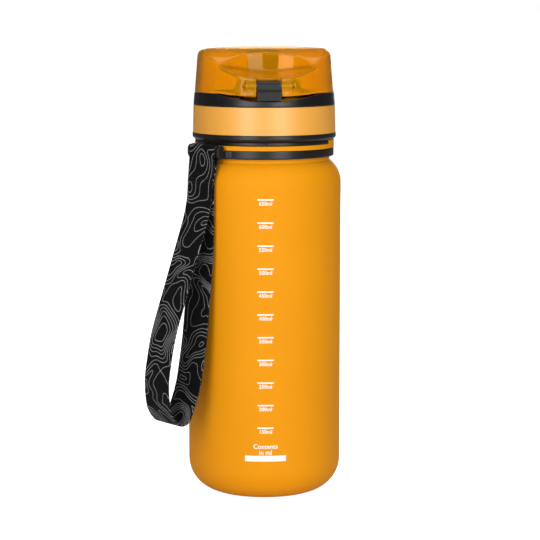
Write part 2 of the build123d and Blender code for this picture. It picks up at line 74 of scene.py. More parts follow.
body_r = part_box("bottle_body")[1].x
body_wall = 2.0 * mm
base_round = 16.2 * mm
foot_inner_r = 17.5 * mm
foot_slope = 3 * mm          # how far in the foot's hollow takes to reach its full depth
foot_rise = 2.4 * mm
straight_top = 160.35 * mm
shoulder_round = 14.4 * mm
shoulder_sweep = radians(50)
neck_root_r = 33.4 * mm
root_rise = 1.95 * mm        # the short step under the strap ring
ring_seat_r = 32.2 * mm
flange_r = 35.7 * mm
neck_r = 30.5 * mm
mouth_r = 28.7 * mm
ring_h = 4.2 * mm
flange_h = 2.3 * mm
clip_h = 1.75 * mm
clip_turn = radians(226)
clip_right_end = radians(63)
clip_gap = radians(0.6)      # between each end of the clip and the raised flange
seat_gap = 0.05 * mm
bite = 0.3 * mm              # how deep a joined form sinks into the one that it stands on
fine = 0.25 * mm             # the small rounds on edges, and the larger ones
small = 0.6 * mm
chamfer = 0.15 * mm          # on pins and washers
lip_z = top_of("bottle_body")
seat_z = foot_of("strap_ring") - seat_gap
flange_z = seat_z + ring_h + 2 * seat_gap
flange_top = flange_z + flange_h

thread_lead = 8 * mm
thread_starts = 2
ridge_depth = 1.7 * mm
ridge_root_w = 1.8 * mm
ridge_tip_w = 0.9 * mm
neck_ridge_z = flange_top + 5.9 * mm
neck_ridge_turns = 0.8
cap_ridge_turns = 0.7
ridge_bite = 0.4 * mm        # how deep a ridge sinks into the wall that it stands on

rim_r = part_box("cap_shell")[1].x
rim_z = foot_of("cap_shell")
rim_h = 3.4 * mm
rim_bevel = 1.3 * mm
cap_bore_r = 32.7 * mm
core_r = 34.4 * mm
core_top = top_of("cap_shell")
cap_top_t = 1.4 * mm
deck_hole_r = 26.05 * mm
band_low_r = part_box("cap_band")[1].x
band_top_r = 36.2 * mm

barrel_r = 2.7 * mm
groove_low = 0.15 * mm       # the hinge block's groove, below and above the barrel's underside
groove_high = 0.55 * mm
groove_depth = 0.7 * mm

lid_pin_r = 0.9 * mm
lever_pin_r = 0.8 * mm
lid_coil_r, lid_wire_r = 1.45 * mm, 0.22 * mm
lid_coil_l, lid_coil_turns = 7.6 * mm, 7.6
lever_coil_r, lever_wire_r = 1.0 * mm, 0.2 * mm
lever_coil_l, lever_coil_turns = 2.2 * mm, 2.93

spout_y = middle_of("spout").y
spout_bore_r = 7.5 * mm
spout_foot_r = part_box("spout")[1].x
spout_lip_r = 9.3 * mm
spout_waist_r = 8.7 * mm
spout_stem_r = 9.1 * mm
spout_foot_h = 1.4 * mm      # this and the next two are above the foot's underside
spout_flare_h = 2.6 * mm
spout_waist_h = 7 * mm
spout_flare = 0.9 * mm       # how much wider than the waist the flare begins, over the foot
spout_lip_h = 1.6 * mm       # the lip's own height, and its height with the cone under it
spout_cone_h = 3.4 * mm
spout_over_seal = 0.63 * mm  # from the seal's underside to the spout foot's
washer_in = 1.8 * mm         # the washer's edges, out from the bore and in from the foot's edge
washer_edge_in = 0.4 * mm
gasket_in = 0.3 * mm         # the gasket's edge, in from the cap's bore
plug_gap = 0.1 * mm          # between the soft plug and the bore
plug_depth = 4 * mm          # how deep the plug stands in the bore
plug_nose_h = 2.4 * mm
plug_nose_in = 2 * mm
plug_taper = 0.5 * mm
plug_lip_in = 0.4 * mm

strap_angle = radians(-55)
webbing_w = 20 * mm
webbing_t = 1.0 * mm
bar_out = 38.2 * mm
bar_r = 0.9 * mm
bar_gap = 0.1 * mm           # between the bar and the webbing round it
side_gap = 0.3 * mm          # beside the webbing, in the lug
cheek_w = 2.3 * mm
bar_inset = 0.55 * mm        # the bar's end, in from the cheek's outer face
bar_z = middle_of("strap_bar").z
seam_drop = 16.2 * mm
strap_clear = 0.45 * mm      # between the bottle's side and the seam
seam_out = body_r + strap_clear + webbing_t
seam_z = bar_z - seam_drop
row_rise = 0.9 * mm          # of the rows of stitches, above and below the seam's middle
row_margin = 1.2 * mm
stitch_pitch, stitch_l = 1.9 * mm, 1.7 * mm
thread_t = 0.32 * mm
stitch_lift = 0.03 * mm

# the printed scale; levels are of middles, above the floor
ink_t = 0.03 * mm            # how far the ink stands off the body
scale_angle = radians(-3)
scale_lowest = 39.2 * mm
scale_step = 11.53 * mm
scale_count = 11
first_volume, volume_step = 150, 50
mark_w, mark_h = 8.2 * mm, 0.7 * mm
label_drop = 2.0 * mm        # from a mark's middle to its label's
label_size = 2.7 * mm
caption = [("Contents", 29.6 * mm), ("in ml", 26.5 * mm)]
caption_size = 3.3 * mm
stripe_level = 23.5 * mm
stripe_w, stripe_h = 21 * mm, 3 * mm
letter_spread = 0.05 * mm    # how much bolder the letters are than their font


# ---------------------------------------------------------------- small tools

def node(tree, kind, inputs=None, **settings):
    """A new node, with its settings, and its inputs filled from values or from other nodes' outputs."""
    made = tree.nodes.new(kind)
    for name, value in settings.items():
        setattr(made, name, value)
    for key, value in (inputs or {}).items():
        if isinstance(value, bpy.types.NodeSocket):
            tree.links.new(value, made.inputs[key])
        else:
            made.inputs[key].default_value = value
    return made


def reckon(tree, operation, *values):
    """What a maths node makes of one or two values."""
    return node(tree, "ShaderNodeMath", dict(enumerate(values)), operation=operation).outputs[0]


def show(name, mesh):
    piece = bpy.data.objects.new(name, mesh)
    bpy.context.scene.collection.objects.link(piece)
    return piece


def settle(piece):
    """Turns what a piece's modifiers give into its plain mesh, and takes the modifiers off."""
    depsgraph = bpy.context.evaluated_depsgraph_get()
    mesh = bpy.data.meshes.new_from_object(piece.evaluated_get(depsgraph))
    mesh.name = piece.name
    piece.modifiers.clear()
    piece.data = mesh
    return piece


def face_outwards(mesh):
    shell = bmesh.new()
    shell.from_mesh(mesh)
    bmesh.ops.remove_doubles(shell, verts=shell.verts, dist=mm / 1000)
    bmesh.ops.recalc_face_normals(shell, faces=shell.faces)
    shell.to_mesh(mesh)
    shell.free()


def polish(piece, sharp=50):
    """Smooth shading that keeps flats flat and leaves real corners crisp."""
    mesh = piece.data
    mesh.shade_smooth()
    mesh.set_sharp_from_angle(angle=radians(sharp))
    weigh = piece.modifiers.new("even shading", "WEIGHTED_NORMAL")
    weigh.keep_sharp = True
    return settle(piece)


def join(name, pieces):
    """Several pieces as one mesh, with each one's material kept."""
    whole = bmesh.new()
    finishes = []
    for piece in pieces:
        finish = piece.data.materials[0]
        if finish not in finishes:
            finishes.append(finish)
        already = len(whole.faces)
        whole.from_mesh(piece.data)
        whole.faces.ensure_lookup_table()
        for face in whole.faces[already:]:
            face.material_index = finishes.index(finish)
        bpy.data.objects.remove(piece)
    mesh = bpy.data.meshes.new(name)
    whole.to_mesh(mesh)
    whole.free()
    for finish in finishes:
        mesh.materials.append(finish)
    return show(name, mesh)


def fit(piece, body, slot=None, *parts):
    """Seats a finished piece on its body in place of the CAD parts that it stands for."""
    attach(piece, body)
    if parts:
        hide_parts(*parts)
    return piece


def wire(name, points, closed):
    """A mesh of edges only, along points in the XY plane."""
    count = len(points)
    edges = [(i, i + 1) for i in range(count - 1)]
    if closed:
        edges.append((count - 1, 0))
    mesh = bpy.data.meshes.new(name)
    mesh.from_pydata([(x, y, 0) for x, y in points], edges, [])
    return mesh


def rounded(corners):
    """Points along straight runs with round corners. A corner is (across, up) or (across, up, radius)."""
    count = len(corners)
    finest = radians(9)
    points = []
    for i, corner in enumerate(corners):
        here = np.array(corner[:2])
        radius = corner[2] if len(corner) > 2 else 0
        if radius == 0:
            points.append(here)
            continue
        back = np.array(corners[i - 1][:2]) - here
        on = np.array(corners[(i + 1) % count][:2]) - here
        back /= np.linalg.norm(back)
        on /= np.linalg.norm(on)
        half = acos(np.clip(back @ on, -1, 1)) / 2
        middle = back + on
        centre = here + middle / np.linalg.norm(middle) * radius / sin(half)
        start = here + back * radius / tan(half) - centre
        end = here + on * radius / tan(half) - centre
        begin = atan2(start[1], start[0])
        turn = (atan2(end[1], end[0]) - begin + pi) % full_turn - pi
        steps = max(3, ceil(abs(turn) / finest))
        for k in range(steps + 1):
            angle = begin + turn * k / steps
            points.append(centre + radius * np.array([cos(angle), sin(angle)]))
    return points


# ---------------------------------------------------------------- node trees that make pieces

def new_tree(name, *sockets):
    """An empty geometry tree. Each socket is (name, kind, first value)."""
    tree = bpy.data.node_groups.new(name, "GeometryNodeTree")
    tree.interface.new_socket("Geometry", in_out="OUTPUT", socket_type="NodeSocketGeometry")
    tree.interface.new_socket("Geometry", in_out="INPUT", socket_type="NodeSocketGeometry")
    for label, kind, value in sockets:
        socket = tree.interface.new_socket(label, in_out="INPUT", socket_type="NodeSocket" + kind)
        if value is not None:
            socket.default_value = value
    return tree, tree.nodes.new("NodeGroupInput").outputs


def close_tree(tree, geometry, finish):
    """The end of every tree: real geometry with its material."""
    real = node(tree, "GeometryNodeRealizeInstances", {"Geometry": geometry})
    dressed = node(tree, "GeometryNodeSetMaterial", {"Geometry": real.outputs[0], "Material": finish})
    node(tree, "NodeGroupOutput", {"Geometry": dressed.outputs[0]})
    return tree


def grow(name, tree, values, base=None):
    """A piece made by a tree from a base mesh and the values of its named inputs."""
    piece = show(name, base or bpy.data.meshes.new(name))
    modifier = piece.modifiers.new(tree.name, "NODES")
    modifier.node_group = tree
    for item in tree.interface.items_tree:
        if item.in_out == "INPUT" and item.name in values:
            modifier[item.identifier] = values[item.name]
    settle(piece)
    piece.data.materials.clear()
    piece.data.materials.append(values["Finish"])
    piece.data.polygons.foreach_set("material_index", [0] * len(piece.data.polygons))
    return piece


lathe_r = 1 * mm    # radius of the path that outlines are carried round


def turned_tree():
    """Carries an outline round the axis, as a lathe does: a whole turn, or part of one with capped ends."""
    tree, given = new_tree(
        "turned form", ("Steps", "Int", 192), ("Whole Turn", "Bool", True), ("Start Angle", "Float", 0.0),
        ("Sweep Angle", "Float", full_turn), ("Axis Turn", "Vector", (0, 0, 0)),
        ("Axis Place", "Vector", (0, 0, 0)), ("Finish", "Material", None))
    outline = node(tree, "GeometryNodeMeshToCurve", {"Mesh": given["Geometry"]})
    circle = node(tree, "GeometryNodeCurvePrimitiveCircle", {
        "Resolution": given["Steps"], "Radius": lathe_r})
    arc = node(tree, "GeometryNodeCurveArc", {
        "Resolution": given["Steps"], "Radius": lathe_r, "Start Angle": given["Start Angle"],
        "Sweep Angle": given["Sweep Angle"]})
    path = node(tree, "GeometryNodeSwitch", {
        "Switch": given["Whole Turn"], "False": arc.outputs[0], "True": circle.outputs[0]},
        input_type="GEOMETRY")
    skin = node(tree, "GeometryNodeCurveToMesh", {
        "Curve": path.outputs[0], "Profile Curve": outline.outputs[0], "Fill Caps": True})
    closed = node(tree, "GeometryNodeMergeByDistance", {"Geometry": skin.outputs[0], "Distance": mm / 1000})
    placed = node(tree, "GeometryNodeTransform", {
        "Geometry": closed.outputs[0], "Translation": given["Axis Place"], "Rotation": given["Axis Turn"]})
    return close_tree(tree, placed.outputs[0], given["Finish"])


def helix_tree():
    """Carries a section along a helix: a thread ridge or a coil spring's wire."""
    tree, given = new_tree(
        "helix", ("Steps", "Int", 96), ("Radius", "Float", 10 * mm), ("Rise", "Float", mm),
        ("Turns", "Float", 1.0), ("Axis Turn", "Vector", (0, 0, 0)), ("Axis Place", "Vector", (0, 0, 0)),
        ("Finish", "Material", None))
    section = node(tree, "GeometryNodeMeshToCurve", {"Mesh": given["Geometry"]})
    path = node(tree, "GeometryNodeCurveSpiral", {
        "Resolution": given["Steps"], "Rotations": given["Turns"], "Start Radius": given["Radius"],
        "End Radius": given["Radius"], "Height": given["Rise"]})
    upright = node(tree, "GeometryNodeSetCurveNormal", {"Curve": path.outputs[0]}, mode="Z_UP")
    skin = node(tree, "GeometryNodeCurveToMesh", {
        "Curve": upright.outputs[0], "Profile Curve": section.outputs[0], "Fill Caps": True})
    placed = node(tree, "GeometryNodeTransform", {
        "Geometry": skin.outputs[0], "Translation": given["Axis Place"], "Rotation": given["Axis Turn"]})
    return close_tree(tree, placed.outputs[0], given["Finish"])


def marks_tree():
    """A column of level printed marks, wrapped round the body."""
    tree, given = new_tree(
        "printed marks", ("Count", "Int", 11), ("Lowest", "Float", 0.0), ("Step", "Float", mm),
        ("Width", "Float", mm), ("Height", "Float", mm), ("Body Radius", "Float", mm),
        ("Angle", "Float", 0.0), ("Finish", "Material", None))
    lowest = node(tree, "ShaderNodeCombineXYZ", {"Z": given["Lowest"]})
    rise = node(tree, "ShaderNodeCombineXYZ", {"Z": given["Step"]})
    column = node(tree, "GeometryNodeMeshLine", {
        "Count": given["Count"], "Start Location": lowest.outputs[0], "Offset": rise.outputs[0]})
    mark = node(tree, "GeometryNodeMeshGrid", {
        "Size X": given["Width"], "Size Y": given["Height"], "Vertices X": 25, "Vertices Y": 3})
    upright = node(tree, "GeometryNodeTransform", {"Geometry": mark.outputs[0], "Rotation": (pi / 2, 0, 0)})
    marks = node(tree, "GeometryNodeInstanceOnPoints", {
        "Points": column.outputs[0], "Instance": upright.outputs[0]})
    real = node(tree, "GeometryNodeRealizeInstances", {"Geometry": marks.outputs[0]})
    flat = node(tree, "ShaderNodeSeparateXYZ", {0: node(tree, "GeometryNodeInputPosition").outputs[0]})
    swing = reckon(tree, "DIVIDE", flat.outputs["X"], given["Body Radius"])
    angle = reckon(tree, "ADD", swing, given["Angle"])
    x = reckon(tree, "MULTIPLY", reckon(tree, "SINE", angle), given["Body Radius"])
    y = reckon(tree, "MULTIPLY", reckon(tree, "COSINE", angle), given["Body Radius"])
    back = reckon(tree, "MULTIPLY", y, -1.0)
    wrapped = node(tree, "ShaderNodeCombineXYZ", {"X": x, "Y": back, "Z": flat.outputs["Z"]})
    bent = node(tree, "GeometryNodeSetPosition", {
        "Geometry": real.outputs[0], "Position": wrapped.outputs[0]})
    return close_tree(tree, bent.outputs[0], given["Finish"])


def stitch_tree():
    """Stitches laid end to end along a line."""
    tree, given = new_tree(
        "stitches", ("Pitch", "Float", mm), ("Length", "Float", mm), ("Thread", "Float", mm),
        ("Finish", "Material", None))
    line = node(tree, "GeometryNodeMeshToCurve", {"Mesh": given["Geometry"]})
    points = node(tree, "GeometryNodeCurveToPoints", {
        "Curve": line.outputs[0], "Length": given["Pitch"]}, mode="LENGTH")
    size = node(tree, "ShaderNodeCombineXYZ", {
        "X": given["Thread"], "Y": given["Thread"], "Z": given["Length"]})
    grain = node(tree, "GeometryNodeMeshUVSphere", {"Segments": 8, "Rings": 6, "Radius": 0.5})
    stitches = node(tree, "GeometryNodeInstanceOnPoints", {
        "Points": points.outputs["Points"], "Instance": grain.outputs[0],
        "Rotation": points.outputs["Rotation"], "Scale": size.outputs[0]})
    return close_tree(tree, stitches.outputs[0], given["Finish"])


turned_form = turned_tree()
helix = helix_tree()
printed_marks = marks_tree()
stitches = stitch_tree()


def turn(name, corners, finish, closed=True, place=(0, 0, 0), axis_turn=(0, 0, 0), steps=192, sweep=None):
    """A turned piece from the corners of its outline. A sweep of (start, size) makes part of a ring."""
    outline = [(radius - lathe_r, -height) for radius, height in rounded(corners)]
    values = {"Steps": steps, "Axis Turn": axis_turn, "Axis Place": place, "Finish": finish}
    if sweep:
        values.update({"Whole Turn": False, "Start Angle": sweep[0], "Sweep Angle": sweep[1]})
    piece = grow(name, turned_form, values, wire(name, outline, closed))
    face_outwards(piece.data)
    return polish(piece)


def thread(name, radius, depth, low, turns, start, finish):
    """One ridge of a screw thread, out from radius by depth, or inwards where depth is negative."""
    root, tip = ridge_root_w / 2, ridge_tip_w / 2
    sink = ridge_bite if depth < 0 else -ridge_bite
    section = rounded([(sink, -root), (depth, -tip, fine), (depth, tip, fine), (sink, root)])
    piece = grow(name, helix, {
        "Radius": radius, "Rise": thread_lead * turns, "Turns": turns, "Axis Turn": (0, 0, start),
        "Axis Place": (0, 0, low), "Finish": finish}, wire(name, section, True))
    face_outwards(piece.data)
    return polish(piece)


def coil_spring(name, mean_r, wire_r, length, turns, axis_turn, place, finish):
    section = [(wire_r * cos(a), wire_r * sin(a)) for a in np.arange(0, full_turn, full_turn / 10)]
    piece = grow(name, helix, {
        "Steps": int(turns * 32), "Radius": mean_r, "Rise": length, "Turns": turns, "Axis Turn": axis_turn,
        "Axis Place": place, "Finish": finish}, wire(name, section, True))
    face_outwards(piece.data)
    return polish(piece)


def mould(name, part, grain, passes, finish, carve=()):
    """A CAD part's own form with the small soft edges that a moulding has, and any boxes carved out.
    Grain is the size of the cells in its skin, and passes is how many times they are smoothed."""
    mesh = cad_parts[part].data.copy()
    mesh.materials.clear()
    mesh.materials.append(finish)
    face_outwards(mesh)
    piece = show(name, mesh)
    tools = []
    for low, high in carve:
        corners = bmesh.new()
        bmesh.ops.create_cube(corners, size=1)
        for vertex in corners.verts:
            vertex.co = [(a + b) / 2 + t * (b - a) for a, b, t in zip(low, high, vertex.co)]
        block = bpy.data.meshes.new("carved")
        corners.to_mesh(block)
        corners.free()
        tools.append(show("carved", block))
        cut = piece.modifiers.new("carved", "BOOLEAN")
        cut.object = tools[-1]
        cut.operation = "DIFFERENCE"
        cut.solver = "EXACT"
    skin = piece.modifiers.new("even skin", "REMESH")
    skin.mode = "VOXEL"
    skin.voxel_size = grain
    skin.use_smooth_shade = True
    soften = piece.modifiers.new("soft edges", "SMOOTH")
    soften.factor = 0.5
    soften.iterations = passes
    settle(piece)
    for tool in tools:
        bpy.data.objects.remove(tool)
    piece.data.shade_smooth()
    return piece


# ---------------------------------------------------------------- finishes

def new_finish(name):
    """A material with its tree, its shader and the object's own coordinates."""
    finish = bpy.data.materials.new(name + "_look")
    finish.use_nodes = True
    tree = finish.node_tree
    shader = tree.nodes["Principled BSDF"]
    place = node(tree, "ShaderNodeTexCoord").outputs["Object"]
    return finish, tree, shader, place


def noise(tree, place, scale, detail=2.0, stretch=None):
    """Even random variation. A stretch draws it out along an axis."""
    if stretch:
        place = node(tree, "ShaderNodeMapping", {"Vector": place, "Scale": stretch}).outputs[0]
    return node(tree, "ShaderNodeTexNoise", {
        "Vector": place, "Scale": scale, "Detail": detail}).outputs["Fac"]


def tint(tree, shader, fac, first, second):
    """The base colour, from first to second as fac rises."""
    mix = node(tree, "ShaderNodeMix", {"Factor": fac}, data_type="RGBA")
    mix.inputs[6].default_value = (*first, 1)
    mix.inputs[7].default_value = (*second, 1)
    tree.links.new(mix.outputs[2], shader.inputs["Base Color"])


def between(tree, fac, low, high, start=0.3, end=0.7):
    return node(tree, "ShaderNodeMapRange", {
        "Value": fac, "From Min": start, "From Max": end, "To Min": low, "To Max": high}).outputs[0]


def relief(tree, shader, height, depth, strength=1.0):
    bump = node(tree, "ShaderNodeBump", {"Height": height, "Distance": depth, "Strength": strength})
    tree.links.new(bump.outputs[0], shader.inputs["Normal"])


def blend_sum(tree, first, second, share):
    """Two patterns added, the second by its share."""
    return reckon(tree, "ADD", first, reckon(tree, "MULTIPLY", second, share))


def frosted_orange():
    """Soft-touch frosted plastic: a fine even grain and slight clouding."""
    finish, tree, shader, place = new_finish("frosted_orange")
    clouds = noise(tree, place, 28, 3)
    grain = noise(tree, place, 2600, 2)
    tint(tree, shader, between(tree, clouds, 0, 1), (0.80, 0.297, 0.002), (0.83, 0.312, 0.003))
    tree.links.new(between(tree, grain, 0.50, 0.62), shader.inputs["Roughness"])
    relief(tree, shader, blend_sum(tree, grain, noise(tree, place, 700, 2), 0.4), 0.03 * mm, 0.5)
    shader.inputs["Specular IOR Level"].default_value = 0.12
    return finish


def satin_orange():
    """Smooth satin lacquer with a soft broad shine and fine turning lines."""
    finish, tree, shader, place = new_finish("satin_orange")
    clouds = noise(tree, place, 45, 3)
    lines = noise(tree, place, 90, 3, stretch=(1, 1, 26))
    tint(tree, shader, between(tree, clouds, 0, 1), (0.86, 0.38, 0.040), (0.89, 0.41, 0.050))
    tree.links.new(between(tree, lines, 0.36, 0.44), shader.inputs["Roughness"])
    relief(tree, shader, blend_sum(tree, lines, noise(tree, place, 1800, 2), 0.5), 0.01 * mm, 0.4)
    shader.inputs["Specular IOR Level"].default_value = 0.95
    return finish


def amber_clear():
    """Clear tinted plastic, glossy, with the faint flow marks of moulding."""
    finish, tree, shader, place = new_finish("amber_clear")
    flow = noise(tree, place, 60, 3)
    tint(tree, shader, between(tree, flow, 0, 1), (0.97, 0.45, 0.001), (0.98, 0.475, 0.0015))
    scuffs = noise(tree, place, 420, 4)
    tree.links.new(between(tree, scuffs, 0.05, 0.11, 0.45, 0.75), shader.inputs["Roughness"])
    relief(tree, shader, flow, 0.05 * mm, 0.25)
    shader.inputs["Transmission Weight"].default_value = 0.70
    shader.inputs["IOR"].default_value = 1.40
    shader.inputs["Specular Tint"].default_value = (1.0, 0.82, 0.5, 1.0)
    return finish


def black_plastic(name="black_plastic", shade=0.003, rough=(0.30, 0.40)):
    """Satin black plastic with spark-eroded grain and paler, rubbed edges."""
    finish, tree, shader, place = new_finish(name)
    grain = noise(tree, place, 1500, 3)
    rubbed = node(tree, "ShaderNodeNewGeometry").outputs["Pointiness"]
    edges = between(tree, rubbed, 0, 1, 0.52, 0.62)
    marks = reckon(tree, "MULTIPLY", edges, noise(tree, place, 300, 3))
    tint(tree, shader, marks, (shade, shade, shade * 1.05), (0.03, 0.03, 0.031))
    tree.links.new(between(tree, grain, *rough), shader.inputs["Roughness"])
    relief(tree, shader, grain, 0.012 * mm, 0.5)
    return finish


def silicone():
    """Soft grey silicone, matt and slightly clouded."""
    finish, tree, shader, place = new_finish("silicone")
    clouds = noise(tree, place, 120, 3)
    tint(tree, shader, between(tree, clouds, 0, 1), (0.10, 0.095, 0.09), (0.13, 0.125, 0.12))
    tree.links.new(between(tree, noise(tree, place, 900), 0.5, 0.65), shader.inputs["Roughness"])
    relief(tree, shader, noise(tree, place, 1400), 0.02 * mm, 0.4)
    return finish


def steel():
    """Drawn stainless steel with fine lengthways lines."""
    finish, tree, shader, place = new_finish("steel")
    lines = noise(tree, place, 300, 4, stretch=(1, 12, 12))
    tint(tree, shader, lines, (0.46, 0.46, 0.45), (0.62, 0.61, 0.60))
    tree.links.new(between(tree, lines, 0.22, 0.34), shader.inputs["Roughness"])
    relief(tree, shader, lines, 0.005 * mm, 0.4)
    shader.inputs["Metallic"].default_value = 1.0
    return finish


def white_ink():
    """Screen-printed white ink, a little uneven in cover."""
    finish, tree, shader, place = new_finish("white_ink")
    cover = noise(tree, place, 1200, 2)
    tint(tree, shader, between(tree, cover, 0, 1), (0.93, 0.91, 0.86), (0.98, 0.97, 0.95))
    tree.links.new(between(tree, cover, 0.4, 0.5), shader.inputs["Roughness"])
    relief(tree, shader, cover, 0.004 * mm, 0.4)
    return finish


def contour_lines(tree, uv, levels, spread, half_width):
    """Thin even lines along the levels of a smooth random field, like the contours on a map."""
    step = 0.02
    least_slope = 0.02

    def field(shift):
        moved = node(tree, "ShaderNodeVectorMath", {0: uv, 1: shift}, operation="ADD").outputs[0]
        hills = node(tree, "ShaderNodeTexNoise", {
            "Vector": moved, "Scale": spread, "Detail": 0.7, "Roughness": 0.4, "Distortion": 0.5})
        return reckon(tree, "MULTIPLY", hills.outputs["Fac"], levels)

    here, beside, above = field((0, 0, 0)), field((step, 0, 0)), field((0, step, 0))
    slopes = [reckon(tree, "SUBTRACT", there, here) for there in (beside, above)]
    squares = [reckon(tree, "MULTIPLY", slope, slope) for slope in slopes]
    steepness = reckon(tree, "SQRT", reckon(tree, "ADD", *squares))
    steepness = reckon(tree, "MAXIMUM", steepness, least_slope)
    off = reckon(tree, "ABSOLUTE", reckon(tree, "SUBTRACT", reckon(tree, "FRACT", here), 0.5))
    away = reckon(tree, "DIVIDE", off, steepness)
    edge = half_width / step
    return between(tree, away, 1, 0, edge * 0.7, edge * 1.3)


def webbing():
    """Woven black polyester with a printed pattern of thin contour lines. Its UV map counts widths."""
    finish, tree, shader, _ = new_finish("webbing")
    uv = node(tree, "ShaderNodeUVMap", uv_map="webbing").outputs[0]
    ribs = node(tree, "ShaderNodeTexWave", {"Vector": uv, "Scale": 7.6, "Distortion": 0.4, "Detail": 1.0},
                bands_direction="Y").outputs["Fac"]
    ends = node(tree, "ShaderNodeTexWave", {"Vector": uv, "Scale": 9.5, "Distortion": 0.3, "Detail": 1.0},
                bands_direction="X").outputs["Fac"]
    weave = blend_sum(tree, ribs, ends, 0.6)
    lines = contour_lines(tree, uv, 19, 0.95, 0.0085)
    thin = reckon(tree, "MULTIPLY", lines, between(tree, weave, 0.55, 1.0, 0.2, 1.2))
    tint(tree, shader, thin, (0.0008, 0.0008, 0.0009), (0.34, 0.34, 0.34))
    tree.links.new(between(tree, weave, 0.85, 0.6, 0.2, 1.4), shader.inputs["Roughness"])
    relief(tree, shader, weave, 0.12 * mm, 0.9)
    shader.inputs["Specular IOR Level"].default_value = 0.15
    shader.inputs["Sheen Weight"].default_value = 0.01
    return finish


def sewing_thread():
    finish, tree, shader, place = new_finish("sewing_thread")
    twist = noise(tree, place, 2500, 2)
    tint(tree, shader, twist, (0.004, 0.004, 0.004), (0.012, 0.012, 0.012))
    tree.links.new(between(tree, twist, 0.5, 0.7), shader.inputs["Roughness"])
    relief(tree, shader, twist, 0.03 * mm, 0.6)
    return finish


orange_body = frosted_orange()
orange_band = satin_orange()
clear_amber = amber_clear()
black = black_plastic()
dark = black_plastic("dark_plastic", 0.02, (0.35, 0.45))
soft_grey = silicone()
drawn_steel = steel()
ink = white_ink()
woven_black = webbing()
black_thread = sewing_thread()


# ---------------------------------------------------------------- bottle

def make_bottle():
    """The hollow bottle: foot, round shoulder, ring groove, flange, raised flange arc and threaded neck."""
    inner_shoulder = shoulder_round - body_wall
    corner_rise = tan(shoulder_sweep / 2)
    root_z = seat_z - root_rise
    inner_r = body_r - body_wall
    inner_corner_z = straight_top + inner_shoulder * corner_rise
    mouth_z = inner_corner_z + (inner_r - mouth_r) / tan(shoulder_sweep)
    shell = turn("shell", [
        (0, foot_rise), (foot_inner_r - foot_slope, foot_rise, small), (foot_inner_r, 0, small),
        (body_r, 0, base_round),
        (body_r, straight_top + shoulder_round * corner_rise, shoulder_round),
        (neck_root_r, root_z, small), (neck_root_r, seat_z, fine), (ring_seat_r, seat_z),
        (ring_seat_r, flange_z), (flange_r, flange_z, fine), (flange_r, flange_top, fine),
        (neck_r, flange_top, fine), (neck_r, lip_z, small), (mouth_r, lip_z, small),
        (mouth_r, mouth_z, small), (inner_r, inner_corner_z, inner_shoulder),
        (inner_r, body_wall, base_round - body_wall), (foot_inner_r, body_wall, small),
        (foot_inner_r - foot_slope, foot_rise + body_wall, small), (0, foot_rise + body_wall),
    ], orange_body, closed=False, steps=256)
    raised_top = flange_top + seat_gap + clip_h
    raised_sweep = (clip_right_end + clip_gap - pi / 2, full_turn - clip_turn - 2 * clip_gap)
    raised = turn("raised flange", [
        (neck_r - bite, flange_top - bite), (flange_r, flange_top - bite),
        (flange_r, raised_top, fine), (neck_r - bite, raised_top),
    ], orange_body, steps=96, sweep=raised_sweep)
    ridges = [thread("thread", neck_r, ridge_depth, neck_ridge_z, neck_ridge_turns,
                     full_turn * start / thread_starts, orange_body) for start in range(thread_starts)]
    return fit(join("bottle", [shell, raised, *ridges]), "bottle", "frosted_orange", "bottle_body")


def make_scale():
    """The printed scale: marks and numbers for every 50 ml, a caption and a plain bar below."""
    ink_r = body_r + ink_t
    marks = grow("marks", printed_marks, {
        "Count": scale_count, "Lowest": scale_lowest, "Step": scale_step, "Width": mark_w, "Height": mark_h,
        "Body Radius": ink_r, "Angle": scale_angle, "Finish": ink})
    bar = grow("bar", printed_marks, {
        "Count": 1, "Lowest": stripe_level, "Step": scale_step, "Width": stripe_w, "Height": stripe_h,
        "Body Radius": ink_r, "Angle": scale_angle, "Finish": ink})
    labels = [(f"{first_volume + volume_step * i}ml", scale_lowest + scale_step * i - label_drop, label_size)
              for i in range(scale_count)]
    labels += [(text, level, caption_size) for text, level in caption]
    words = []
    for text, level, size in labels:
        letters = bpy.data.curves.new(text, "FONT")
        letters.body = text
        letters.size = size
        letters.align_x = "CENTER"
        letters.align_y = "CENTER"
        letters.offset = letter_spread
        letters.resolution_u = 3
        word = show("word", letters)
        depsgraph = bpy.context.evaluated_depsgraph_get()
        mesh = bpy.data.meshes.new_from_object(word.evaluated_get(depsgraph))
        bpy.data.objects.remove(word)
        for vertex in mesh.vertices:
            turn_by = vertex.co.x / ink_r + scale_angle
            vertex.co = (ink_r * sin(turn_by), -ink_r * cos(turn_by), level + vertex.co.y)
        mesh.materials.append(ink)
        words.append(show("word", mesh))
    return fit(join("printed_scale", [marks, bar, *words]), "bottle")


# ---------------------------------------------------------------- cap

def make_cap_shell():
    """The threaded shell with its bevelled lower rim."""
    shell = turn("shell", [
        (cap_bore_r, rim_z, fine), (rim_r - rim_bevel, rim_z, 2 * fine),
        (rim_r, rim_z + rim_bevel, 3 * fine), (rim_r, rim_z + rim_h, fine),
        (core_r, rim_z + rim_h), (core_r, core_top),
        (deck_hole_r, core_top), (deck_hole_r, core_top - cap_top_t), (cap_bore_r, core_top - cap_top_t),
    ], black)
    ridges = [thread("thread", cap_bore_r, -ridge_depth, neck_ridge_z - thread_lead / thread_starts / 2,
                     cap_ridge_turns, full_turn * start / thread_starts, black)
              for start in range(thread_starts)]
    return fit(join("threaded_shell", [shell, *ridges]), "cap", "black_plastic", "cap_shell")


def make_band():
    low, high = foot_of("cap_band"), top_of("cap_band")
    edge = 0.2 * mm
    band = turn("orange_band", [
        (core_r + seat_gap, low), (band_low_r, low, edge),
        (band_top_r, high, edge), (core_r + seat_gap, high),
    ], orange_band)
    return fit(band, "cap", "satin_orange", "cap_band")


